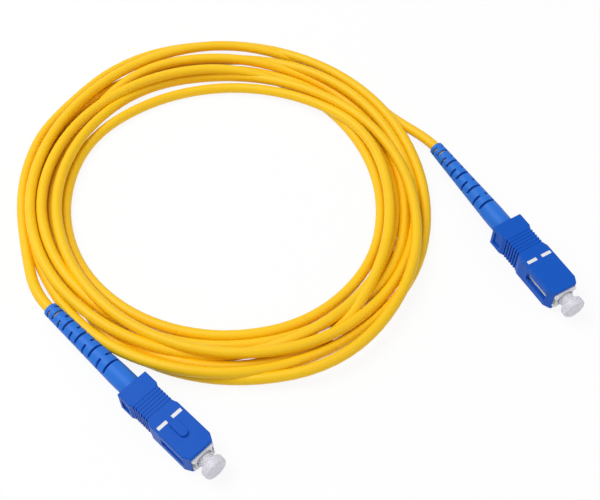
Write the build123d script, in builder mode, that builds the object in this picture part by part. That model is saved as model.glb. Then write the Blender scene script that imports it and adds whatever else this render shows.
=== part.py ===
"""Simplex fiber optic patch cord with an SC plug on each end, lying coiled on a flat surface.

Millimetres. +Z is up and z = 0 is the surface that the cord lies on. The origin is on that
surface, under the middle of the box round the two plugs. Each plug is built on its own axis:
distances along a plug are measured forward from the back face of its outer housing.
"""

from build123d import *
from math import cos, pi, radians, sin, tan
import os

# Cord
CABLE_DIAMETER = 3.0
BUFFER_DIAMETER = 0.9
FIBRE_DIAMETER = 0.125

# Where the plugs lie: back centre of each outer housing, and the heading of each axis
PLUG_A_BACK = (-45.38, -27.0)
PLUG_A_HEADING = -45.0
PLUG_B_BACK = (53.1, 20.34)
PLUG_B_HEADING = -60.8

# Travels: the grip shell slides back on the plug, the ferrule gives against its spring
GRIP_TRAVEL = 2.0
FERRULE_TRAVEL = 1.5

# Ferrule unit
FERRULE_DIAMETER = 2.5
FERRULE_LENGTH = 10.5
FERRULE_PROUD = 0.3
FERRULE_CHAMFER = 0.3
FERRULE_SHOWING = 8.0
FIBRE_BORE_CLEARANCE = 0.001
FUNNEL_DIAMETER = 0.8
FUNNEL_LENGTH = 1.0
COLLAR_CLEARANCE = 0.2
COLLAR_LENGTH = 3.0
COLLAR_NOTCHES = 4
COLLAR_NOTCH = 0.6
COLLAR_NOTCH_DEPTH = 0.4
STEM_WALL = 0.7
STEM_GAP = 0.3
FIBRE_CLEARANCE = 0.05
FIBRE_DUCT = BUFFER_DIAMETER / 2 + FIBRE_CLEARANCE
STEM_RADIUS = FIBRE_DUCT + STEM_WALL

# Spring: it runs round the stem, inside the frame's cavity
SPRING_WIRE = 0.45
SPRING_TURNS = 4.5
SPRING_GAP = 0.05
SPRING_INNER_CLEARANCE = 0.225
SPRING_OUTER_CLEARANCE = 0.425
SPRING_RADIUS = STEM_RADIUS + SPRING_INNER_CLEARANCE + SPRING_WIRE / 2
CAVITY_RADIUS = SPRING_RADIUS + SPRING_WIRE / 2 + SPRING_OUTER_CLEARANCE

# Plug frame: walls round the cavity, latch recesses in its two sides
FRAME_START = 6.0
FRAME_PROUD = 0.5
FRAME_WALL = 0.4
FRAME_CORNER = 0.7
STOP_WALL_THICKNESS = 1.0
STOP_WALL_CLEARANCE = 0.15
LATCH_DEPTH = 0.6
LATCH_HEIGHT = 2.9
LATCH_FLAT = 3.4
LATCH_RAMP = 2.3
LATCH_RIDGE = 0.7
LATCH_PIT = 2.4
FRAME_HEIGHT = 2 * (CAVITY_RADIUS + FRAME_WALL)
FRAME_WIDTH = FRAME_HEIGHT + 2 * LATCH_DEPTH

# Outer housing: slides on the frame
HOUSING_LENGTH = 25.5
HOUSING_SIDE_WALL = 1.1
HOUSING_FACE_WALL = 0.9
HOUSING_EDGE = 0.35
HOUSING_CORNER = 0.7
SLIDE_CLEARANCE = 0.1
FLANGE_LENGTH = 4.2
WAIST_REAR_RAMP = 0.8
WAIST_LENGTH = 5.8
WAIST_FRONT_RAMP = 1.2
WAIST_DEPTH = 0.45
NOSE_LENGTH = 2.0
NOSE_DEPTH = 1.05
GROOVE_COUNT = 6
GROOVE_WIDTH = 0.5
SIDE_GROOVE_DEPTH = 0.35
FACE_GROOVE_DEPTH = 0.12
POCKET_START = 0.9
POCKET_LENGTH = 2.7
POCKET_HEIGHT = 4.6
POCKET_DEPTH = 0.4
KEY_SETBACK = 5.3
KEY_LENGTH = 5.0
KEY_WIDTH = 2.2
KEY_HEIGHT = 0.65
MARK_GAP = 0.6
MARK_LENGTH = 3.0
MARK_WIDTH = 1.0
MARK_OFFSET = 2.3
MARK_DEPTH = 0.12
WINDOW_FRONT_WALL = 2.0
WINDOW_LENGTH = 8.0
WINDOW_HEIGHT = 2.9
WINDOW_CORNER = 0.4
CHANNEL_WIDTH = FRAME_WIDTH + 2 * SLIDE_CLEARANCE
CHANNEL_HEIGHT = FRAME_HEIGHT + 2 * SLIDE_CLEARANCE
HOUSING_WIDTH = CHANNEL_WIDTH + 2 * HOUSING_SIDE_WALL
HOUSING_HEIGHT = CHANNEL_HEIGHT + 2 * HOUSING_FACE_WALL
KEY_START = HOUSING_LENGTH - KEY_SETBACK - KEY_LENGTH

# Places along the plug that follow the housing's front face
FRAME_END = HOUSING_LENGTH + FRAME_PROUD
FERRULE_TIP = HOUSING_LENGTH + FERRULE_PROUD
FERRULE_BACK = FERRULE_TIP - FERRULE_LENGTH
COLLAR_FRONT = FERRULE_TIP - FERRULE_SHOWING
COLLAR_BACK = COLLAR_FRONT - COLLAR_LENGTH
STOP_WALL_FRONT = COLLAR_FRONT + STOP_WALL_THICKNESS

# Crimp body, guide tube, yarn and crimp ring
POST_LENGTH = 7.3
POST_WALL = 0.7
POST_NOSE_LENGTH = 4.0
SHOULDER_LENGTH = 1.2
SHOULDER_LIP = 0.3
STEM_WELL_CLEARANCE = 0.25
TRAVEL_ROOM = 0.2
SNAP_CLEARANCE = 0.05
POST_GROOVES = 4
POST_GROOVE_DEPTH = 0.15
GUIDE_WALL = 0.45
GUIDE_CLEARANCE = 0.05
GUIDE_PROUD = 0.3
YARN_SETBACK = 0.2
YARN_OVERLAP = 0.3
YARN_THICKNESS = 0.2
CRIMP_WALL = 0.3
CRIMP_TAPER = 0.8
CRIMP_NECK_LENGTH = 4.0
POST_BORE = FIBRE_DUCT + GUIDE_WALL + GUIDE_CLEARANCE
POST_RADIUS = POST_BORE + POST_WALL
YARN_RADIUS = POST_RADIUS + YARN_THICKNESS
SHOULDER_START = FRAME_START - SHOULDER_LENGTH
POST_START = SHOULDER_START - POST_LENGTH
POST_FRONT_END = FRAME_START + POST_NOSE_LENGTH
STEM_WELL_BOTTOM = POST_FRONT_END - FERRULE_TRAVEL - TRAVEL_ROOM
YARN_START = POST_START + YARN_OVERLAP
YARN_END = SHOULDER_START - YARN_SETBACK
CRIMP_NECK_START = YARN_START - CRIMP_TAPER
CRIMP_REAR_END = CRIMP_NECK_START - CRIMP_NECK_LENGTH

# Strain boot: pulled over the crimp ring, its front end inside the housing
BOOT_LENGTH = 33.5
BOOT_FRONT = 3.0
BOOT_FRONT_WALL = 0.7
BOOT_REAR_WALL = 0.5
BOOT_STRAIGHT = 6.0
BOOT_CLEARANCE = 0.05
BOOT_WELL_CLEARANCE = 0.3
BOOT_WELL_ROOM = 0.5
BOOT_SLOT_RINGS = 10
BOOT_SLOT_WIDTH = 0.7
BOOT_SLOT_FIRST = 1.35
BOOT_SLOT_PITCH = 2.15
BOOT_SLOT_PAIRING = 0.88
BOOT_SLOT_GROWTH = 0.13
BOOT_BRIDGE = 1.5
BOOT_FRONT_BORE = YARN_RADIUS + CRIMP_WALL + BOOT_CLEARANCE
BOOT_FRONT_RADIUS = BOOT_FRONT_BORE + BOOT_FRONT_WALL

# Cable end held in the boot
JACKET_SETBACK = 0.2
BUFFER_IN_JACKET = 3.3
JACKET_WELL_ROOM = 0.7
JACKET_FRONT = CRIMP_NECK_START - JACKET_SETBACK
BUFFER_START = JACKET_FRONT - BUFFER_IN_JACKET

# Dust cap: slips over the ferrule, inside the frame's front bore
CAP_BORE_CLEARANCE = 0.05
CAP_BORE_ROOM = 0.5
CAP_WALL = 0.7
CAP_SIDE_ROOM = 0.3
CAP_SLEEVE_ROOM = 0.3
CAP_HEAD_ROOM = 0.5
CAP_HEAD_LENGTH = 2.6
CAP_HEAD_DIAMETER = 6.3
CAP_HEAD_ROUND = 0.7
CAP_BORE_RADIUS = FERRULE_DIAMETER / 2 + CAP_BORE_CLEARANCE
CAP_SLEEVE_RADIUS = CAP_BORE_RADIUS + CAP_WALL

# Bundle of turns: two ellipses, one round its outside and one round the open middle
BUNDLE_OUTER_CENTRE = (-24.8, 36.0)
BUNDLE_OUTER_RADII = (56.0, 62.4)
BUNDLE_OUTER_TURN = 34.0
BUNDLE_INNER_CENTRE = (-24.4, 32.9)
BUNDLE_INNER_RADII = (44.6, 42.3)
BUNDLE_INNER_TURN = -24.5
BUNDLE_HEIGHT = 6.0
BUNDLE_EDGE = 2.2

# Routes of the two loose stretches after the boot, from the boot's mouth into the bundle
TAIL_LEVEL = CABLE_DIAMETER / 2
TAIL_A_LEAD = 8.4
TAIL_A_POINTS = [(-79.8, 17.6, 1.9), (-82.5, 35.1, TAIL_LEVEL), (-80.8, 53.1, TAIL_LEVEL)]
TAIL_B_LEAD = 6.9
TAIL_B_POINTS = [(24.8, 62.8, 2.2), (9.0, 75.3, TAIL_LEVEL)]
RUN_SHARE = 0.45


class PlugEnd:
    """Frame of one plug: its axis runs forward, its key stands on the side called up."""

    def __init__(self, name, back, heading, key_up):
        turn = radians(heading)
        height = HOUSING_HEIGHT / 2 if key_up else HOUSING_HEIGHT / 2 + KEY_HEIGHT
        self.name = name
        self.back = Vector(back[0], back[1], height)
        self.forward = Vector(cos(turn), sin(turn), 0)
        self.up = Vector(0, 0, 1 if key_up else -1)
        self.side = self.up.cross(self.forward)
        self.axis = Axis(self.back, self.forward)

    def section(self, along):
        """Plane across the plug: local X is sideways, local Y is up, the normal is forward."""
        return Plane(self.back + self.forward * along, x_dir=self.side, z_dir=self.forward)

    def plan(self, height):
        """Plane seen from the key side: local X is forward, local Y is sideways."""
        return Plane(self.back + self.up * height, x_dir=self.forward, z_dir=self.up)

    def flank(self, offset):
        """Plane along one side: local X is forward, local Y is up, the normal is sideways."""
        normal = self.forward.cross(self.up)
        return Plane(self.back + normal * offset, x_dir=self.forward, z_dir=normal)

    def point(self, along):
        """Point on the plug's axis."""
        return self.back + self.forward * along


def turned(end, outline):
    """Ring-shaped piece: a closed outline of (distance along, radius) turned about the axis."""
    with BuildPart() as ring:
        with BuildSketch(end.flank(0)):
            with BuildLine():
                Polyline(*outline, close=True)
            make_face()
        revolve(axis=end.axis)
    return ring


def outer_housing(end):
    """Grip shell: flange, ribbed waist, windows for the adapter's hooks, key and mark recesses."""
    half = HOUSING_WIDTH / 2
    top = HOUSING_HEIGHT / 2
    waist = half - WAIST_DEPTH
    waist_start = FLANGE_LENGTH + WAIST_REAR_RAMP
    waist_end = waist_start + WAIST_LENGTH
    with BuildPart() as housing:
        with BuildSketch(end.plan(-top)):
            with BuildLine():
                Polyline(
                    (0, 0),
                    (0, half),
                    (FLANGE_LENGTH, half),
                    (waist_start, waist),
                    (waist_end, waist),
                    (waist_end + WAIST_FRONT_RAMP, half),
                    (HOUSING_LENGTH - NOSE_LENGTH, half),
                    (HOUSING_LENGTH, half - NOSE_DEPTH),
                    (HOUSING_LENGTH, 0),
                )
                mirror(about=Plane.XZ)
            make_face()
        extrude(amount=HOUSING_HEIGHT)
        upright = housing.edges().filter_by(Axis.Z)
        fillet(upright.group_by(end.axis)[-1] + upright.group_by(end.axis)[-2], HOUSING_CORNER)
        rims = housing.faces().filter_by(Axis.Z)
        fillet(rims.edges().filter_by(Axis(end.back, end.side), reverse=True), HOUSING_EDGE)
        with BuildSketch(end.section(0)):
            Rectangle(CHANNEL_WIDTH, CHANNEL_HEIGHT)
        extrude(amount=HOUSING_LENGTH, mode=Mode.SUBTRACT)
        with BuildSketch(end.section(0)):
            Circle(BOOT_FRONT_RADIUS + BOOT_WELL_CLEARANCE)
        extrude(amount=BOOT_FRONT + GRIP_TRAVEL + BOOT_WELL_ROOM, mode=Mode.SUBTRACT)
        with BuildSketch(end.flank(0)):
            with Locations((HOUSING_LENGTH - WINDOW_FRONT_WALL - WINDOW_LENGTH / 2, 0)):
                RectangleRounded(WINDOW_LENGTH, WINDOW_HEIGHT, WINDOW_CORNER)
        extrude(amount=HOUSING_WIDTH, both=True, mode=Mode.SUBTRACT)
        for side in (-1, 1):
            with BuildSketch(end.flank(side * (half - POCKET_DEPTH))):
                with Locations((POCKET_START + POCKET_LENGTH / 2, 0)):
                    Rectangle(POCKET_LENGTH, POCKET_HEIGHT)
            extrude(amount=side * POCKET_DEPTH, mode=Mode.SUBTRACT)
        pitch = WAIST_LENGTH / GROOVE_COUNT
        for groove in range(GROOVE_COUNT):
            with BuildSketch(end.section(waist_start + pitch * (groove + 0.5) - GROOVE_WIDTH / 2)):
                Rectangle(HOUSING_WIDTH, HOUSING_HEIGHT)
                Rectangle(
                    2 * (waist - SIDE_GROOVE_DEPTH),
                    HOUSING_HEIGHT - 2 * FACE_GROOVE_DEPTH,
                    mode=Mode.SUBTRACT,
                )
            extrude(amount=GROOVE_WIDTH, mode=Mode.SUBTRACT)
        mark_centre = KEY_START - MARK_GAP - MARK_WIDTH / 2
        for face in (-1, 1):
            with BuildSketch(end.plan(face * (top - MARK_DEPTH))):
                with Locations((mark_centre, MARK_OFFSET), (mark_centre, -MARK_OFFSET)):
                    Rectangle(MARK_WIDTH, MARK_LENGTH)
            extrude(amount=face * MARK_DEPTH, mode=Mode.SUBTRACT)
        with BuildSketch(end.plan(top)):
            straight = KEY_LENGTH - KEY_WIDTH / 2
            with Locations((KEY_START + straight / 2, 0)):
                Rectangle(straight, KEY_WIDTH)
            with Locations((KEY_START + straight, 0)):
                Circle(KEY_WIDTH / 2)
        extrude(amount=KEY_HEIGHT)
    return housing


def plug_frame(end):
    """Inner frame: the ferrule floats in it and the adapter's hooks snap into its sides."""
    outer = FRAME_WIDTH / 2
    inner = outer - LATCH_DEPTH
    ramp_end = FRAME_END - LATCH_FLAT
    ramp_start = ramp_end - LATCH_RAMP
    pit_end = ramp_start - LATCH_RIDGE
    pit_start = pit_end - LATCH_PIT
    with BuildPart() as frame:
        with BuildSketch(end.section(FRAME_START)):
            RectangleRounded(FRAME_WIDTH, FRAME_HEIGHT, FRAME_CORNER)
        extrude(amount=FRAME_END - FRAME_START)
        with BuildSketch(end.section(FRAME_START)):
            Circle(CAVITY_RADIUS)
        extrude(amount=COLLAR_FRONT - FRAME_START, mode=Mode.SUBTRACT)
        with BuildSketch(end.section(STOP_WALL_FRONT)):
            Circle(CAP_SLEEVE_RADIUS + CAP_SIDE_ROOM)
        extrude(amount=FRAME_END - STOP_WALL_FRONT, mode=Mode.SUBTRACT)
        with BuildSketch(end.section(COLLAR_FRONT)):
            Circle(FERRULE_DIAMETER / 2 + STOP_WALL_CLEARANCE)
        extrude(amount=STOP_WALL_THICKNESS, mode=Mode.SUBTRACT)
        with BuildSketch(end.plan(-LATCH_HEIGHT / 2)):
            with BuildLine():
                Polyline(
                    (pit_start, outer),
                    (pit_start, inner),
                    (pit_end, inner),
                    (pit_end, outer),
                    close=True,
                )
            make_face()
            with BuildLine():
                Polyline(
                    (ramp_start, outer),
                    (ramp_end, inner),
                    (FRAME_END, inner),
                    (FRAME_END, outer),
                    close=True,
                )
            make_face()
            mirror(about=Plane.XZ)
        extrude(amount=LATCH_HEIGHT, mode=Mode.SUBTRACT)
    return frame


def ferrule(end):
    """Ceramic ferrule with a fine bore and a funnel at its back for the fibre."""
    radius = FERRULE_DIAMETER / 2
    bore = (FIBRE_DIAMETER + FIBRE_BORE_CLEARANCE) / 2
    return turned(
        end,
        [
            (FERRULE_BACK, FUNNEL_DIAMETER / 2),
            (FERRULE_BACK, radius),
            (FERRULE_TIP - FERRULE_CHAMFER, radius),
            (FERRULE_TIP, radius - FERRULE_CHAMFER),
            (FERRULE_TIP, bore),
            (FERRULE_BACK + FUNNEL_LENGTH, bore),
        ],
    )


def ferrule_flange(end):
    """Metal collar pressed on the ferrule, with a stem behind it that guides the spring."""
    stem_back = POST_FRONT_END + STEM_GAP
    collar = CAVITY_RADIUS - COLLAR_CLEARANCE
    with BuildPart() as flange:
        add(
            turned(
                end,
                [
                    (stem_back, FIBRE_DUCT),
                    (stem_back, STEM_RADIUS),
                    (COLLAR_BACK, STEM_RADIUS),
                    (COLLAR_BACK, collar),
                    (COLLAR_FRONT, collar),
                    (COLLAR_FRONT, FERRULE_DIAMETER / 2),
                    (FERRULE_BACK, FERRULE_DIAMETER / 2),
                    (FERRULE_BACK, FIBRE_DUCT),
                ],
            ).part
        )
        with BuildSketch(end.section(COLLAR_BACK)):
            with PolarLocations(collar, COLLAR_NOTCHES):
                Rectangle(2 * COLLAR_NOTCH_DEPTH, COLLAR_NOTCH)
        extrude(amount=COLLAR_LENGTH, mode=Mode.SUBTRACT)
    return flange


def ferrule_spring(end):
    """Coil spring between the crimp body and the collar."""
    start = POST_FRONT_END + SPRING_WIRE / 2 + SPRING_GAP
    stop = COLLAR_BACK - SPRING_WIRE / 2 - SPRING_GAP
    height = stop - start
    with BuildPart() as spring:
        with BuildLine() as path:
            Helix(
                pitch=height / SPRING_TURNS,
                height=height,
                radius=SPRING_RADIUS,
                center=end.point(start),
                direction=end.forward,
            )
        with BuildSketch(Plane(path.line @ 0, z_dir=path.line % 0)):
            Circle(SPRING_WIRE / 2)
        sweep(path=path.line, is_frenet=True)
    return spring


def crimp_body(end):
    """Back post: closes the frame, backs the spring and carries the crimp."""
    nose = CAVITY_RADIUS - SNAP_CLEARANCE
    shoulder = CAVITY_RADIUS + SHOULDER_LIP
    stem_well = STEM_RADIUS + STEM_WELL_CLEARANCE
    pitch = POST_LENGTH / (POST_GROOVES + 1)
    outline = [(POST_START, POST_BORE), (POST_START, POST_RADIUS)]
    for groove in range(POST_GROOVES):
        middle = POST_START + pitch * (groove + 1)
        outline += [
            (middle - pitch / 4, POST_RADIUS),
            (middle - pitch / 8, POST_RADIUS - POST_GROOVE_DEPTH),
            (middle + pitch / 8, POST_RADIUS - POST_GROOVE_DEPTH),
            (middle + pitch / 4, POST_RADIUS),
        ]
    outline += [
        (SHOULDER_START, POST_RADIUS),
        (SHOULDER_START, shoulder),
        (FRAME_START, shoulder),
        (FRAME_START, nose),
        (POST_FRONT_END, nose),
        (POST_FRONT_END, stem_well),
        (STEM_WELL_BOTTOM, stem_well),
        (STEM_WELL_BOTTOM, POST_BORE),
    ]
    return turned(end, outline)


def guide_tube(end):
    """Thin tube that leads the buffered fibre through the back post."""
    wall = FIBRE_DUCT + GUIDE_WALL
    back = POST_START - GUIDE_PROUD
    front = STEM_WELL_BOTTOM - TRAVEL_ROOM
    return turned(end, [(back, FIBRE_DUCT), (back, wall), (front, wall), (front, FIBRE_DUCT)])


def aramid_yarn(end):
    """Strength yarn of the cord, laid over the back post and held by the crimp ring."""
    outline = [
        (YARN_START, POST_RADIUS),
        (YARN_START, YARN_RADIUS),
        (YARN_END, YARN_RADIUS),
        (YARN_END, POST_RADIUS),
    ]
    return turned(end, outline)


def crimp_ring(end):
    """Metal sleeve: its wide part clamps the yarn and its neck grips the jacket."""
    neck = CABLE_DIAMETER / 2
    front = YARN_END - YARN_SETBACK
    return turned(
        end,
        [
            (front, YARN_RADIUS),
            (front, YARN_RADIUS + CRIMP_WALL),
            (YARN_START, YARN_RADIUS + CRIMP_WALL),
            (CRIMP_NECK_START, neck + CRIMP_WALL),
            (CRIMP_REAR_END, neck + CRIMP_WALL),
            (CRIMP_REAR_END, neck),
            (CRIMP_NECK_START, neck),
            (YARN_START, YARN_RADIUS),
        ],
    )


def buffered_fibre(end):
    """Tight-buffered fibre from the cord to the back of the ferrule; it moves with the ferrule."""
    radius = BUFFER_DIAMETER / 2
    outline = [(BUFFER_START, 0), (BUFFER_START, radius), (FERRULE_BACK, radius), (FERRULE_BACK, 0)]
    return turned(end, outline)


def glass_fibre(end):
    """Bare glass fibre glued in the ferrule's bore and polished flush with its tip."""
    radius = FIBRE_DIAMETER / 2
    outline = [(FERRULE_BACK, 0), (FERRULE_BACK, radius), (FERRULE_TIP, radius), (FERRULE_TIP, 0)]
    return turned(end, outline)


def boot_slot_places():
    """Distances from the boot's mouth: the rings stand in pairs and spread towards the plug."""
    places = []
    place = BOOT_SLOT_FIRST
    for ring in range(BOOT_SLOT_RINGS):
        places.append(place)
        share = 2 - BOOT_SLOT_PAIRING if ring % 2 else BOOT_SLOT_PAIRING
        place += share * (BOOT_SLOT_PITCH + BOOT_SLOT_GROWTH * ring)
    return places


def strain_boot(end):
    """Bend relief: a tapering sleeve cut by rings of slots, each ring turned a quarter from the last."""
    rear_bore = CABLE_DIAMETER / 2 + BOOT_CLEARANCE
    step = CRIMP_REAR_END - (BOOT_FRONT_BORE - rear_bore)
    with BuildPart() as boot:
        add(
            turned(
                end,
                [
                    (BOOT_FRONT, BOOT_FRONT_BORE),
                    (BOOT_FRONT, BOOT_FRONT_RADIUS),
                    (-BOOT_STRAIGHT, BOOT_FRONT_RADIUS),
                    (-BOOT_LENGTH, rear_bore + BOOT_REAR_WALL),
                    (-BOOT_LENGTH, rear_bore),
                    (step, rear_bore),
                    (CRIMP_REAR_END, BOOT_FRONT_BORE),
                ],
            ).part
        )
        for ring, place in enumerate(boot_slot_places()):
            with BuildSketch(end.section(place - BOOT_LENGTH - BOOT_SLOT_WIDTH / 2)):
                Circle(2 * BOOT_FRONT_RADIUS)
                bridge_turn = 90 if ring % 2 else 0
                Rectangle(BOOT_BRIDGE, 4 * BOOT_FRONT_RADIUS, rotation=bridge_turn, mode=Mode.SUBTRACT)
            extrude(amount=BOOT_SLOT_WIDTH, mode=Mode.SUBTRACT)
    return boot


def cable_end(end):
    """Straight end of the cord inside the boot, hollow at the front where the fibre comes out."""
    well_depth = BUFFER_IN_JACKET + FERRULE_TRAVEL + JACKET_WELL_ROOM
    with BuildPart() as stretch:
        with BuildSketch(end.section(-BOOT_LENGTH)):
            Circle(CABLE_DIAMETER / 2)
        extrude(amount=BOOT_LENGTH + JACKET_FRONT)
        with BuildSketch(end.section(JACKET_FRONT)):
            Circle(FIBRE_DUCT + FIBRE_CLEARANCE)
        extrude(amount=-well_depth, mode=Mode.SUBTRACT)
    return stretch


def dust_cap(end):
    """Soft cap: a sleeve that slips over the ferrule and a round head to pull it off by."""
    sleeve_start = STOP_WALL_FRONT + FERRULE_TRAVEL + CAP_SLEEVE_ROOM
    bore_end = FERRULE_TIP + CAP_BORE_ROOM
    head_start = FRAME_END + FERRULE_TRAVEL + CAP_HEAD_ROOM
    with BuildPart() as cap:
        with BuildSketch(end.section(sleeve_start)):
            Circle(CAP_SLEEVE_RADIUS)
        extrude(amount=head_start - sleeve_start)
        with BuildSketch(end.section(head_start)):
            Circle(CAP_HEAD_DIAMETER / 2)
        extrude(amount=CAP_HEAD_LENGTH)
        fillet(cap.edges().filter_by(GeomType.CIRCLE).sort_by(SortBy.RADIUS)[-2:], CAP_HEAD_ROUND)
        with BuildSketch(end.section(sleeve_start)):
            Circle(CAP_BORE_RADIUS)
        extrude(amount=bore_end - sleeve_start, mode=Mode.SUBTRACT)
    return cap


def tail_route(end, lead, points):
    """Points of a loose stretch: straight out of the boot's mouth, then the listed points."""
    mouth = end.point(-BOOT_LENGTH)
    return [mouth, end.point(-BOOT_LENGTH - lead)] + [Vector(*point) for point in points]


def corner_radii(name, route):
    """Largest tangent arc that the two runs at each corner allow; the radii are printed."""
    radii = []
    for before, corner, after in zip(route, route[1:], route[2:]):
        arriving = corner - before
        leaving = after - corner
        shorter = min(arriving.length, leaving.length)
        half_turn = radians(arriving.get_angle(leaving)) / 2
        radii.append(RUN_SHARE * shorter / tan(half_turn))
    print(name, "corner radii:", [round(radius, 1) for radius in radii])
    return radii


def cable_tail(name, end, lead, points):
    """Loose stretch of the cord between a boot and the bundle: straight runs and tangent arcs."""
    route = tail_route(end, lead, points)
    with BuildPart() as tail:
        with BuildLine() as path:
            FilletPolyline(*route, radius=corner_radii(name, route))
        with BuildSketch(Plane(route[0], z_dir=route[1] - route[0])):
            Circle(CABLE_DIAMETER / 2)
        sweep(path=path.wires()[0])
    expected = path.wires()[0].length * pi * CABLE_DIAMETER**2 / 4
    print(name, "volume over section times length:", round(tail.part.volume / expected, 5))
    return tail


def cable_coil():
    """The bundle of turns as one closed ring of its outer shape."""
    with BuildPart() as coil:
        with BuildSketch(Plane.XY):
            with Locations(BUNDLE_OUTER_CENTRE):
                Ellipse(*BUNDLE_OUTER_RADII, rotation=BUNDLE_OUTER_TURN)
            with Locations(BUNDLE_INNER_CENTRE):
                Ellipse(*BUNDLE_INNER_RADII, rotation=BUNDLE_INNER_TURN, mode=Mode.SUBTRACT)
        extrude(amount=BUNDLE_HEIGHT)
        fillet(coil.edges().filter_by(GeomType.ELLIPSE), BUNDLE_EDGE)
    return coil


def save(name, piece):
    """Label a finished piece and write its STEP file."""
    piece.part.label = name
    export_step(piece.part, f"parts/{name}.step")


PLUG_PIECES = [
    outer_housing,
    plug_frame,
    ferrule,
    ferrule_flange,
    ferrule_spring,
    crimp_body,
    guide_tube,
    aramid_yarn,
    crimp_ring,
    buffered_fibre,
    glass_fibre,
    strain_boot,
    cable_end,
    dust_cap,
]

os.makedirs("parts", exist_ok=True)
end_a = PlugEnd("a", PLUG_A_BACK, PLUG_A_HEADING, key_up=True)
end_b = PlugEnd("b", PLUG_B_BACK, PLUG_B_HEADING, key_up=False)
for plug_end in (end_a, end_b):
    for make_piece in PLUG_PIECES:
        save(f"{plug_end.name}_{make_piece.__name__}", make_piece(plug_end))
save("cable_tail_a", cable_tail("cable_tail_a", end_a, TAIL_A_LEAD, TAIL_A_POINTS))
save("cable_tail_b", cable_tail("cable_tail_b", end_b, TAIL_B_LEAD, TAIL_B_POINTS))
save("cable_coil", cable_coil())
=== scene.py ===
"""Simplex fibre patch cord, coiled, with a plug and a dust cap at each end."""

import math

import bmesh
import bpy
from mathutils import Matrix, Quaternion, Vector


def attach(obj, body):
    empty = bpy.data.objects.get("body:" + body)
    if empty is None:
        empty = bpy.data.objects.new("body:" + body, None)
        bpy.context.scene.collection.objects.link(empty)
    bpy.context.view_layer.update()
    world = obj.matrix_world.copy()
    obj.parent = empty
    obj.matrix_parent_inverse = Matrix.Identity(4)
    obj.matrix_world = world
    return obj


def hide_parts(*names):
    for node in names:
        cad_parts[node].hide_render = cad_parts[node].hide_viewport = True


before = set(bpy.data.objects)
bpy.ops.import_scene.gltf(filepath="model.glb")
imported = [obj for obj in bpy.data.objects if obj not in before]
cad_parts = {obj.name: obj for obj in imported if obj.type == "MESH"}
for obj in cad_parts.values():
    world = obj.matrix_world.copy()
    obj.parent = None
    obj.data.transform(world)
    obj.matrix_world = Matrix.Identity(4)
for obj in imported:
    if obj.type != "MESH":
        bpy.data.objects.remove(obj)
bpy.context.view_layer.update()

bl_info = {
    "name": "Fibre patch cord",
    "version": (1, 0, 0),
    "blender": (4, 5, 0),
    "location": "View3D > Sidebar > Patch cord",
    "description": "Lays the cord, finishes both plugs and sets the stage",
    "category": "Object",
}

ENDS = ("a_", "b_")

# The cord's route, in metres. It leaves plug A's boot, goes clockwise round the coil
# and runs back into plug B's boot.
JACKET_DIAMETER = 0.003
CORD_LENGTH = 2.45
STEPS_PER_POINT = 8
ROUNDNESS = 5
ROUTE_FROM_A = (
    (-0.06907, -0.00331, 0.0037),
    (-0.0738, 0.00142, 0.0037),
    (-0.0785, 0.0154, 0.0019),
    (-0.0831, 0.0341, 0.0015),
    (-0.0829, 0.0505, 0.0015),
)
ROUTE_TO_B = (
    (0.0160, 0.0748, 0.0015),
    (0.0252, 0.0632, 0.0022),
    (0.03505, 0.05264, 0.00435),
    (0.03676, 0.04958, 0.00435),
)

# The coil's turns: how far each lies from the middle of the coil, in millimetres, and how
# many cord diameters above the floor, at every hour of the clock. The first turn starts at
# ten o'clock and every later one at eight. The places are chosen for the look of the bundle:
# neighbouring turns overlap over much of it, and most where they change level.
COIL_CENTRE = Vector((-0.0246, 0.0343))
HOURS = 12
FIRST_HOUR = 10
# a spline with twelve points a turn runs at this share of their distance from the middle
CORNER_SHARE = 0.966
FIRST_TURN = (
    (60.1, 0), (64.3, 0), (61.8, 0), (56.8, 1), (55.6, 1),
    (56.8, 0), (58.3, 0), (56.8, 0), (57.4, 1), (56.3, 1),
)
MIDDLE_TURNS = (
    ((53.9, 0), (55.8, 0), (57.9, 0), (56.7, 0), (55.3, 0), (53.3, 1),
     (52.6, 1), (54.0, 0), (55.0, 0), (55.0, 1), (51.5, 1), (48.3, 1)),
    ((46.7, 1), (47.3, 1), (47.9, 1), (50.6, 0), (47.9, 0), (45.8, 1),
     (49.0, 1), (52.6, 1), (58.1, 1), (62.5, 1), (57.5, 0), (54.3, 0)),
    ((47.7, 0), (49.8, 0), (51.2, 0), (56.0, 1), (53.2, 1), (52.6, 0),
     (50.9, 0), (50.8, 0), (52.6, 0), (49.6, 0), (47.9, 0), (47.8, 0)),
    ((49.8, 1), (51.8, 1), (52.2, 1), (51.0, 1), (48.7, 1), (46.5, 0),
     (43.9, 0), (44.0, 0), (46.1, 0), (46.6, 0), (44.9, 0), (44.3, 0)),
    ((44.6, 0), (45.3, 0), (46.6, 0), (44.1, 0), (43.1, 0), (43.0, 0.5),
     (45.9, 1), (46.0, 1), (49.0, 1), (54.8, 0), (54.3, 0), (51.8, 0)),
    ((50.7, 0), (52.8, 0), (54.9, 0), (53.6, 0), (51.0, 0), (49.3, 0),
     (47.8, 0), (48.1, 0), (49.3, 0), (51.0, 1), (51.3, 0), (51.9, 1)),
)
LAST_TURN = ((53.0, 1), (54.9, 1), (56.7, 1), (59.1, 1), (59.5, 1), (57.3, 0))

# Where each plug's shell starts on its axis and which way it points, in degrees.
PLUGS = {
    "a_": ((-0.04538, -0.027, 0.0037), -45.0),
    "b_": ((0.0531, 0.02034, 0.00435), -60.8),
}
SHELL_HALF_HEIGHT = 0.0037
MARK_ALONG = 0.0141
MARK_OFFSET = 0.0023
MARK_SIZE = (0.00098, 0.00298, 0.00011)
MARK_ROUNDING = 0.00003
# how far a mark's face stays below the shell's
MARK_SETBACK = 0.000005

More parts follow.
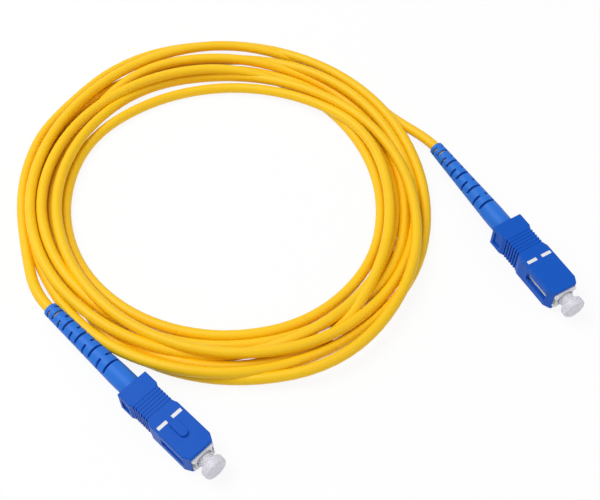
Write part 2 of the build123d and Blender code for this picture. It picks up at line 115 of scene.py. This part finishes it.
# The painted shade on the jacket inside a boot starts this far from the mouth, in metres, and
# this is the share of it that every further metre adds, until it is whole.
SHADE_START = 0.005
SHADE_PER_METRE = 300.0

# The stage: each lamp's name, place, side and colour, then the floor and the camera.
LAMP_TARGET = (0, 0.02, 0)
KEY_LAMP = ("key_lamp", (-0.35, 0.15, 0.62), 0.5, (1.0, 0.99, 0.97))
FILL_LAMP = ("fill_lamp", (0.45, -0.4, 0.5), 0.6, (0.97, 0.98, 1.0))
FLOOR_HALF_WIDTH = 2.5
FLOOR_GREYS = ((0.94, 0.94, 0.94, 1), (0.96, 0.96, 0.96, 1))
FLOOR_GLOW_SHARE = 0.9
CAMERA_PLACE = Vector((-0.00345, -0.14107, 0.22751))
CAMERA_TARGET = Vector((-0.00345, 0.0171, 0.0))
CAMERA_ROLL = -0.854
CAMERA_LENS = 60.0


class Socket:
    """A shader output that takes part in sums; each sum adds a Math node."""

    def __init__(self, finish, output):
        self.finish = finish
        self.output = output

    def sum(self, operation, first, second):
        return self.finish.add("ShaderNodeMath", {"operation": operation}, {0: first, 1: second})

    def __add__(self, other):
        return self.sum("ADD", self, other)

    def __radd__(self, other):
        return self.sum("ADD", other, self)

    def __sub__(self, other):
        return self.sum("SUBTRACT", self, other)

    def __rsub__(self, other):
        return self.sum("SUBTRACT", other, self)

    def __mul__(self, other):
        return self.sum("MULTIPLY", self, other)


class Finish:
    """A node tree under construction, for a material or the world."""

    def __init__(self, owner):
        owner.use_nodes = True
        self.owner = owner
        self.tree = owner.node_tree
        self.tree.nodes.clear()

    def add(self, kind, settings=None, sockets=None, output=0):
        """Adds one node: its settings first, then its sockets' values or links."""
        node = self.tree.nodes.new(kind)
        for key, value in (settings or {}).items():
            setattr(node, key, value)
        for key, value in (sockets or {}).items():
            if isinstance(value, Socket):
                self.tree.links.new(value.output, node.inputs[key])
            else:
                node.inputs[key].default_value = value
        return Socket(self, node.outputs[output]) if node.outputs else None

    def blend(self, share, first, second):
        """Mixes two colours; share 0 is all of the first."""
        settings = {"data_type": "RGBA"}
        return self.add("ShaderNodeMix", settings, {0: share, 6: first, 7: second}, 2)

    def place(self):
        return self.add("ShaderNodeTexCoord", output=3)

    def noise(self, scale, detail=3.0, where=None, distortion=0.0):
        """Cloudy variation between 0 and 1 with features about 1 / scale metres wide."""
        sockets = {
            "Vector": where or self.place(),
            "Scale": scale,
            "Detail": detail,
            "Distortion": distortion,
        }
        return self.add("ShaderNodeTexNoise", None, sockets)

    def bump(self, height, depth, strength):
        sockets = {"Height": height, "Distance": depth, "Strength": strength}
        return self.add("ShaderNodeBump", None, sockets)

    def surface(self, sockets):
        shader = self.add("ShaderNodeBsdfPrincipled", None, sockets)
        self.add("ShaderNodeOutputMaterial", None, {"Surface": shader})


def rgba(colour, share=1.0):
    """A property's colour with its alpha, darkened to a share of itself."""
    return (*(channel * share for channel in colour), 1.0)


def new_finish(name):
    return Finish(bpy.data.materials.new(name))


def moulded_plastic(name, colour, roughness, grain, depth, extra=None):
    """Injection-moulded plastic: faint flow mottling, a spark-eroded grain and handling haze."""
    finish = new_finish(name)
    flow = finish.noise(140.0, 4.0, distortion=0.6)
    eroded = finish.noise(grain, 5.0)
    haze = finish.noise(420.0, 2.0)
    sockets = {
        "Base Color": finish.blend(flow * 0.5 + eroded * 0.2, rgba(colour), rgba(colour, 0.86)),
        "Roughness": roughness + (haze - 0.5) * 0.16 + (eroded - 0.5) * 0.08,
        "Normal": finish.bump(eroded, depth, 0.45),
        "Specular IOR Level": 0.22,
    }
    sockets.update(extra or {})
    finish.surface(sockets)
    return finish.owner


def clear_plastic(name, colour, grain, transmission):
    """Moulded plastic that scatters light under its surface and may let some through."""
    extra = {
        "Transmission Weight": transmission,
        "Subsurface Weight": 0.5,
        "Subsurface Radius": (0.0012, 0.0011, 0.0014),
        "Subsurface Scale": 1.0,
        "IOR": 1.46,
    }
    return moulded_plastic(name, colour, 0.3, grain, 0.00003, extra)


def drawn_metal(name, colour, roughness, lines):
    """Turned or drawn metal with fine tool lines and patches of duller plating."""
    finish = new_finish(name)
    stretched = finish.add(
        "ShaderNodeVectorMath",
        {"operation": "MULTIPLY"},
        {0: finish.place(), 1: (1.0, 1.0, 6.0)},
    )
    tooling = finish.noise(lines, 2.0, stretched)
    dull = finish.noise(300.0, 3.0)
    finish.surface({
        "Base Color": finish.blend(dull, rgba(colour), rgba(colour, 0.8)),
        "Metallic": 1.0,
        "Roughness": roughness + (tooling - 0.5) * 0.2 + dull * 0.08,
        "Normal": finish.bump(tooling, 0.00002, 0.4),
    })
    return finish.owner


def spun_yarn(name, colour):
    """Bundled filaments: long wavy lines, with painted shade in the dark gaps between them."""
    finish = new_finish(name)
    lines = finish.add(
        "ShaderNodeTexWave",
        {"wave_type": "BANDS", "bands_direction": "DIAGONAL"},
        {"Vector": finish.place(), "Scale": 900.0, "Distortion": 5.0, "Detail": 2.0},
        1,
    )
    finish.surface({
        # the darker bands are painted shade between the filaments; the same bands drive the
        # roughness and bumps
        "Base Color": finish.blend(lines, rgba(colour, 0.55), rgba(colour)),
        "Roughness": 0.75 - lines * 0.25,
        "Normal": finish.bump(lines, 0.00008, 0.8),
        "Sheen Weight": 0.3,
    })
    return finish.owner


def jacket_plastic(name, colour, shade):
    """Soft extruded jacket: slow colour drift, die-line streaks, fine matt orange peel."""
    finish = new_finish(name)
    drift = finish.noise(60.0, 3.0, distortion=0.8)
    peel = finish.noise(2600.0, 3.0)
    scuffs = finish.noise(480.0, 4.0, distortion=1.5)
    finish.surface({
        "Base Color": finish.blend(drift * 0.55 + scuffs * 0.15, rgba(colour), rgba(shade)),
        "Roughness": 0.4 + (scuffs - 0.5) * 0.2 + (peel - 0.5) * 0.1,
        "Normal": finish.bump(peel * 0.5 + scuffs * 0.5, 0.00004, 0.35),
        "Specular IOR Level": 0.28,
    })
    return finish.owner


def shaded_jacket(name, colour, shade):
    """The jacket inside a boot, with painted shade: dark blue away from the mouth, so that the
    slots look deep.
    """
    finish = new_finish(name)
    reach = [
        finish.add(
            "ShaderNodeVectorMath",
            {"operation": "DISTANCE"},
            {0: finish.place(), 1: mouth},
            1,
        )
        for mouth in (ROUTE_FROM_A[0], ROUTE_TO_B[-1])
    ]
    nearest = reach[0].sum("MINIMUM", *reach)
    # share of painted shade: none within 5 mm of the nearer mouth, whole about 8 mm in
    depth = finish.add(
        "ShaderNodeMath",
        {"operation": "MULTIPLY", "use_clamp": True},
        {0: nearest - SHADE_START, 1: SHADE_PER_METRE},
    )
    # noise that varies the painted shade a little, and the roughness and bumps
    shade_and_surface_noise = finish.noise(900.0, 4.0)
    finish.surface({
        "Base Color": finish.blend(depth * (0.9 + shade_and_surface_noise * 0.1), rgba(colour), rgba(shade)),
        "Roughness": 0.55 + shade_and_surface_noise * 0.2,
        "Normal": finish.bump(shade_and_surface_noise, 0.00004, 0.3),
    })
    return finish.owner


def coat_nodes(finish, *names):
    """Gives both ends' nodes of these names the finish, in the slots that they have."""
    for end in ENDS:
        for name in names:
            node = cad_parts[end + name]
            if not node.material_slots:
                node.data.materials.append(finish)
            for material_slot in node.material_slots:
                material_slot.material = finish


def colour_property(name, description, default):
    return bpy.props.FloatVectorProperty(
        name=name,
        description=description,
        subtype="COLOR",
        size=3,
        min=0.0,
        max=1.0,
        default=default,
    )


class PATCH_PG_cord(bpy.types.PropertyGroup):
    """The cord's size and colours."""

    diameter: bpy.props.FloatProperty(
        name="Jacket diameter",
        description="Outside diameter of the cord's jacket",
        default=JACKET_DIAMETER,
        min=0.0009,
        max=0.004,
        precision=4,
        unit="LENGTH",
    )
    length: bpy.props.FloatProperty(
        name="Cord length",
        description="Length of the cord from one boot to the other",
        default=CORD_LENGTH,
        min=0.3,
        max=10.0,
        unit="LENGTH",
    )
    jacket: colour_property("Jacket", "Main colour of the jacket", (0.97, 0.63, 0.007))
    jacket_shade: colour_property(
        "Jacket shade", "Deeper colour that the jacket drifts to", (0.91, 0.46, 0.004)
    )
    boot_shadow: colour_property(
        "Boot shadow", "Dark blue painted on the jacket inside a boot", (0.004, 0.014, 0.075)
    )


class PATCH_PG_plug(bpy.types.PropertyGroup):
    """The plugs' colours."""

    shell: colour_property("Shell", "Grip shell", (0.006, 0.102, 0.56))
    boot: colour_property("Boot", "Slotted bend-relief boot", (0.018, 0.175, 0.72))
    inner_frame: colour_property("Frame", "Natural inner frame", (0.93, 0.94, 0.97))
    cap: colour_property("Cap", "Milky dust cap", (0.83, 0.82, 0.90))
    mark: colour_property("Mark", "White filling of the shell's marks", (0.86, 0.87, 0.88))
    ceramic: colour_property("Ferrule", "Ground ceramic", (0.90, 0.89, 0.85))
    nickel: colour_property("Nickel", "Plated collar and back post", (0.66, 0.65, 0.61))
    spring: colour_property("Spring", "Spring wire", (0.55, 0.55, 0.56))
    copper: colour_property("Crimp ring", "Copper-coloured ring", (0.72, 0.40, 0.24))
    yarn: colour_property("Yarn", "Aramid strength yarn", (0.80, 0.62, 0.12))
    buffer: colour_property("Buffer", "Tight buffer on the fibre", (0.85, 0.85, 0.83))
    glass: colour_property("Glass", "Bare glass fibre", (0.92, 0.95, 0.96))


class PATCH_PG_stage(bpy.types.PropertyGroup):
    """The lamps and the surroundings."""

    key_power: bpy.props.FloatProperty(
        name="Key lamp",
        description="Power of the large lamp above and to the left",
        default=3.5,
        min=0.0,
        unit="POWER",
    )
    fill_power: bpy.props.FloatProperty(
        name="Fill lamp",
        description="Power of the large lamp at the front right",
        default=1.0,
        min=0.0,
        unit="POWER",
    )
    surroundings: bpy.props.FloatProperty(
        name="Surroundings",
        description="Strength of the even light from all around",
        default=0.42,
        min=0.0,
        max=1.0,
        subtype="FACTOR",
    )


def coil_points():
    """The coil's turns as points in metres, clockwise, one an hour."""
    stations = [*FIRST_TURN]
    for turn in MIDDLE_TURNS:
        stations.extend(turn)
    stations.extend(LAST_TURN)
    points = []
    for step, (radius, level) in enumerate(stations):
        angle = math.pi / 2 - math.tau * (FIRST_HOUR + step) / HOURS
        reach = radius / 1000 / CORNER_SHARE
        x = COIL_CENTRE.x + reach * math.cos(angle)
        y = COIL_CENTRE.y + reach * math.sin(angle)
        points.append((x, y, JACKET_DIAMETER * (0.5 + level)))
    return points


class PATCH_OT_lay_cord(bpy.types.Operator):
    """Lay the cord from plug A round the coil to plug B."""

    bl_idname = "patch_cord.lay_cord"
    bl_label = "Lay the cord"

    def execute(self, context):
        settings = context.scene.patch_cord
        route = [*ROUTE_FROM_A, *coil_points(), *ROUTE_TO_B]
        line = bpy.data.curves.new("cord", "CURVE")
        line.dimensions = "3D"
        spline = line.splines.new("NURBS")
        spline.points.add(len(route) - 1)
        for point, place in zip(spline.points, route):
            point.co = (*place, 1.0)
        spline.order_u = 3
        spline.use_endpoint_u = True
        spline.use_smooth = True
        line.resolution_u = STEPS_PER_POINT
        line.bevel_depth = settings.diameter / 2
        line.bevel_resolution = ROUNDNESS
        line.use_fill_caps = True
        cord = bpy.data.objects.new("cord", line)
        context.scene.collection.objects.link(cord)
        line.materials.append(
            jacket_plastic("extruded_yellow_jacket", settings.jacket, settings.jacket_shade)
        )
        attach(cord, "cord")
        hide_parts("cable_coil", "cable_tail_a", "cable_tail_b")
        # the jacket inside the boots, with painted shade that darkens away from each mouth
        inside = shaded_jacket("jacket_inside_boot_painted_shade", settings.jacket, settings.boot_shadow)
        coat_nodes(inside, "cable_end")
        return {"FINISHED"}


class PATCH_OT_finish_shells(bpy.types.Operator):
    """Finish the blue grip shells."""

    bl_idname = "patch_cord.finish_shells"
    bl_label = "Finish the grip shells"

    def execute(self, context):
        colours = context.scene.patch_plug
        shell = moulded_plastic(
            "moulded_blue_shell", colours.shell, 0.42, 3200.0, 0.00003, {"Specular IOR Level": 0.12}
        )
        coat_nodes(shell, "outer_housing")
        return {"FINISHED"}


def filled_mark(shape, place, turn):
    """Adds one thin ink filling with softened edges to a mesh under construction."""
    size = Matrix.Diagonal((*MARK_SIZE, 1.0))
    matrix = Matrix.Translation(place) @ turn @ size
    cube = bmesh.ops.create_cube(shape, size=1.0, matrix=matrix)
    edges = {edge for corner in cube["verts"] for edge in corner.link_edges}
    bmesh.ops.bevel(
        shape, geom=list(edges), offset=MARK_ROUNDING, segments=2, affect="EDGES"
    )


class PATCH_OT_fill_marks(bpy.types.Operator):
    """Fill the two bar marks on both faces of each grip shell with white."""

    bl_idname = "patch_cord.fill_marks"
    bl_label = "Fill the marks"

    def execute(self, context):
        colours = context.scene.patch_plug
        ink = moulded_plastic("white_mark_ink", colours.mark, 0.5, 2600.0, 0.00001)
        for end, (back, heading) in PLUGS.items():
            turn = Matrix.Rotation(math.radians(heading), 4, "Z")
            forward = turn @ Vector((1, 0, 0))
            sideways = turn @ Vector((0, 1, 0))
            height = SHELL_HALF_HEIGHT - MARK_SIZE[2] / 2 - MARK_SETBACK
            shape = bmesh.new()
            for face in (-1, 1):
                for side in (-MARK_OFFSET, MARK_OFFSET):
                    place = Vector(back) + forward * MARK_ALONG + sideways * side
                    filled_mark(shape, place + Vector((0, 0, face * height)), turn)
            mesh = bpy.data.meshes.new(end + "marks")
            shape.to_mesh(mesh)
            shape.free()
            mesh.materials.append(ink)
            marks = bpy.data.objects.new(end + "marks", mesh)
            context.scene.collection.objects.link(marks)
            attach(marks, end + "grip")
        return {"FINISHED"}


class PATCH_OT_finish_boots(bpy.types.Operator):
    """Finish the soft slotted boots."""

    bl_idname = "patch_cord.finish_boots"
    bl_label = "Finish the boots"

    def execute(self, context):
        colours = context.scene.patch_plug
        boot = moulded_plastic("soft_blue_boot", colours.boot, 0.46, 1900.0, 0.00005)
        coat_nodes(boot, "strain_boot")
        return {"FINISHED"}


class PATCH_OT_finish_frames(bpy.types.Operator):
    """Finish the natural inner frames and the milky dust caps."""

    bl_idname = "patch_cord.finish_frames"
    bl_label = "Finish the frames and caps"

    def execute(self, context):
        colours = context.scene.patch_plug
        inner = clear_plastic("natural_frame_plastic", colours.inner_frame, 2600.0, 0.0)
        coat_nodes(inner, "plug_frame")
        cap = clear_plastic("milky_cap_plastic", colours.cap, 3400.0, 0.18)
        coat_nodes(cap, "dust_cap")
        return {"FINISHED"}


class PATCH_OT_finish_metalwork(bpy.types.Operator):
    """Finish the collars, springs, back posts and crimp rings."""

    bl_idname = "patch_cord.finish_metalwork"
    bl_label = "Finish the metalwork"

    def execute(self, context):
        colours = context.scene.patch_plug
        nickel = drawn_metal("plated_nickel", colours.nickel, 0.28, 1500.0)
        coat_nodes(nickel, "ferrule_flange", "crimp_body", "guide_tube")
        coat_nodes(drawn_metal("drawn_spring_wire", colours.spring, 0.3, 2400.0), "ferrule_spring")
        coat_nodes(drawn_metal("pressed_copper_ring", colours.copper, 0.34, 1100.0), "crimp_ring")
        return {"FINISHED"}


class PATCH_OT_finish_fibre(bpy.types.Operator):
    """Finish the ferrules, the yarn, the buffer and the glass."""

    bl_idname = "patch_cord.finish_fibre"
    bl_label = "Finish the fibre parts"

    def execute(self, context):
        colours = context.scene.patch_plug
        ceramic = moulded_plastic(
            "ground_ceramic", colours.ceramic, 0.14, 5200.0, 0.000008, {"Coat Weight": 0.3}
        )
        coat_nodes(ceramic, "ferrule")
        coat_nodes(spun_yarn("aramid_yarn", colours.yarn), "aramid_yarn")
        coat_nodes(
            moulded_plastic("white_buffer", colours.buffer, 0.38, 2800.0, 0.00002),
            "buffered_fibre",
        )
        coat_nodes(clear_plastic("bare_glass", colours.glass, 6000.0, 0.9), "glass_fibre")
        return {"FINISHED"}


def area_lamp(context, name, place, size, colour, power):
    """A square soft lamp that faces the coil."""
    lamp = bpy.data.lights.new(name, "AREA")
    lamp.shape = "SQUARE"
    lamp.size = size
    lamp.energy = power
    lamp.color = colour
    holder = bpy.data.objects.new(name, lamp)
    holder.location = place
    aim = Vector(LAMP_TARGET) - Vector(place)
    holder.rotation_euler = aim.to_track_quat("-Z", "Y").to_euler()
    context.scene.collection.objects.link(holder)


class PATCH_OT_set_stage(bpy.types.Operator):
    """Set the floor, the lamps, the white surroundings and the camera."""

    bl_idname = "patch_cord.set_stage"
    bl_label = "Set the stage"

    def execute(self, context):
        settings = context.scene.patch_stage
        self.floor(context)
        self.world(context, settings.surroundings)
        area_lamp(context, *KEY_LAMP, settings.key_power)
        area_lamp(context, *FILL_LAMP, settings.fill_power)
        self.camera(context)
        context.scene.view_settings.view_transform = "Standard"
        return {"FINISHED"}

    def floor(self, context):
        mesh = bpy.data.meshes.new("floor")
        shape = bmesh.new()
        bmesh.ops.create_grid(shape, x_segments=8, y_segments=8, size=FLOOR_HALF_WIDTH)
        shape.to_mesh(mesh)
        shape.free()
        floor = bpy.data.objects.new("floor", mesh)
        context.scene.collection.objects.link(floor)
        finish = new_finish("pale_floor")
        seen = self.seen_directly(finish)
        paper = finish.add(
            "ShaderNodeBsdfDiffuse",
            None,
            {"Color": finish.blend(finish.noise(30.0), *FLOOR_GREYS)},
        )
        glow = finish.add("ShaderNodeEmission", None, {"Color": (1, 1, 1, 1), "Strength": 1.0})
        mixed = finish.add(
            "ShaderNodeMixShader", None, {0: seen * FLOOR_GLOW_SHARE, 1: paper, 2: glow}
        )
        finish.add("ShaderNodeOutputMaterial", None, {"Surface": mixed})
        mesh.materials.append(finish.owner)

    def world(self, context, strength):
        world = bpy.data.worlds.new("white_surroundings")
        context.scene.world = world
        finish = Finish(world)
        seen = self.seen_directly(finish)
        glow = finish.add(
            "ShaderNodeBackground",
            None,
            {"Color": (1, 1, 1, 1), "Strength": strength + seen * (1 - strength)},
        )
        finish.add("ShaderNodeOutputWorld", None, {"Surface": glow})

    def seen_directly(self, finish):
        """1 for rays from the camera, a reflection or through glass, otherwise 0."""
        rays = finish.add("ShaderNodeLightPath")
        outputs = rays.output.node.outputs
        glossy = Socket(finish, outputs["Is Glossy Ray"])
        through = Socket(finish, outputs["Is Transmission Ray"])
        either = rays.sum("MAXIMUM", glossy, through)
        return rays.sum("MAXIMUM", Socket(finish, outputs["Is Camera Ray"]), either)

    def camera(self, context):
        lens = bpy.data.cameras.new("camera")
        lens.lens = CAMERA_LENS
        lens.sensor_width = 36.0
        lens.clip_start = 0.01
        camera = bpy.data.objects.new("camera", lens)
        aim = CAMERA_TARGET - CAMERA_PLACE
        roll = Quaternion((0, 0, 1), math.radians(CAMERA_ROLL))
        camera.location = CAMERA_PLACE
        camera.rotation_mode = "QUATERNION"
        camera.rotation_quaternion = aim.to_track_quat("-Z", "Y") @ roll
        context.scene.collection.objects.link(camera)
        context.scene.camera = camera


OPERATORS = (
    PATCH_OT_set_stage,
    PATCH_OT_lay_cord,
    PATCH_OT_finish_shells,
    PATCH_OT_fill_marks,
    PATCH_OT_finish_boots,
    PATCH_OT_finish_frames,
    PATCH_OT_finish_metalwork,
    PATCH_OT_finish_fibre,
)


class PATCH_PT_sidebar(bpy.types.Panel):
    """Lists the steps that build the patch cord."""

    bl_idname = "PATCH_PT_sidebar"
    bl_label = "Patch cord"
    bl_space_type = "VIEW_3D"
    bl_region_type = "UI"
    bl_category = "Patch cord"

    def draw(self, context):
        for owner in GROUPS:
            group = getattr(context.scene, owner)
            column = self.layout.column(align=True)
            for name in group.__annotations__:
                column.prop(group, name)
        for operator in OPERATORS:
            self.layout.operator(operator.bl_idname)


GROUPS = {
    "patch_cord": PATCH_PG_cord,
    "patch_plug": PATCH_PG_plug,
    "patch_stage": PATCH_PG_stage,
}
CLASSES = (*GROUPS.values(), *OPERATORS, PATCH_PT_sidebar)


def register():
    for item in CLASSES:
        bpy.utils.register_class(item)
    for name, group in GROUPS.items():
        setattr(bpy.types.Scene, name, bpy.props.PointerProperty(type=group))


def unregister():
    for name in GROUPS:
        delattr(bpy.types.Scene, name)
    for item in reversed(CLASSES):
        bpy.utils.unregister_class(item)


def main():
    register()
    for operator in OPERATORS:
        family, step = operator.bl_idname.split(".")
        getattr(getattr(bpy.ops, family), step)()


if __name__ == "__main__":
    main()
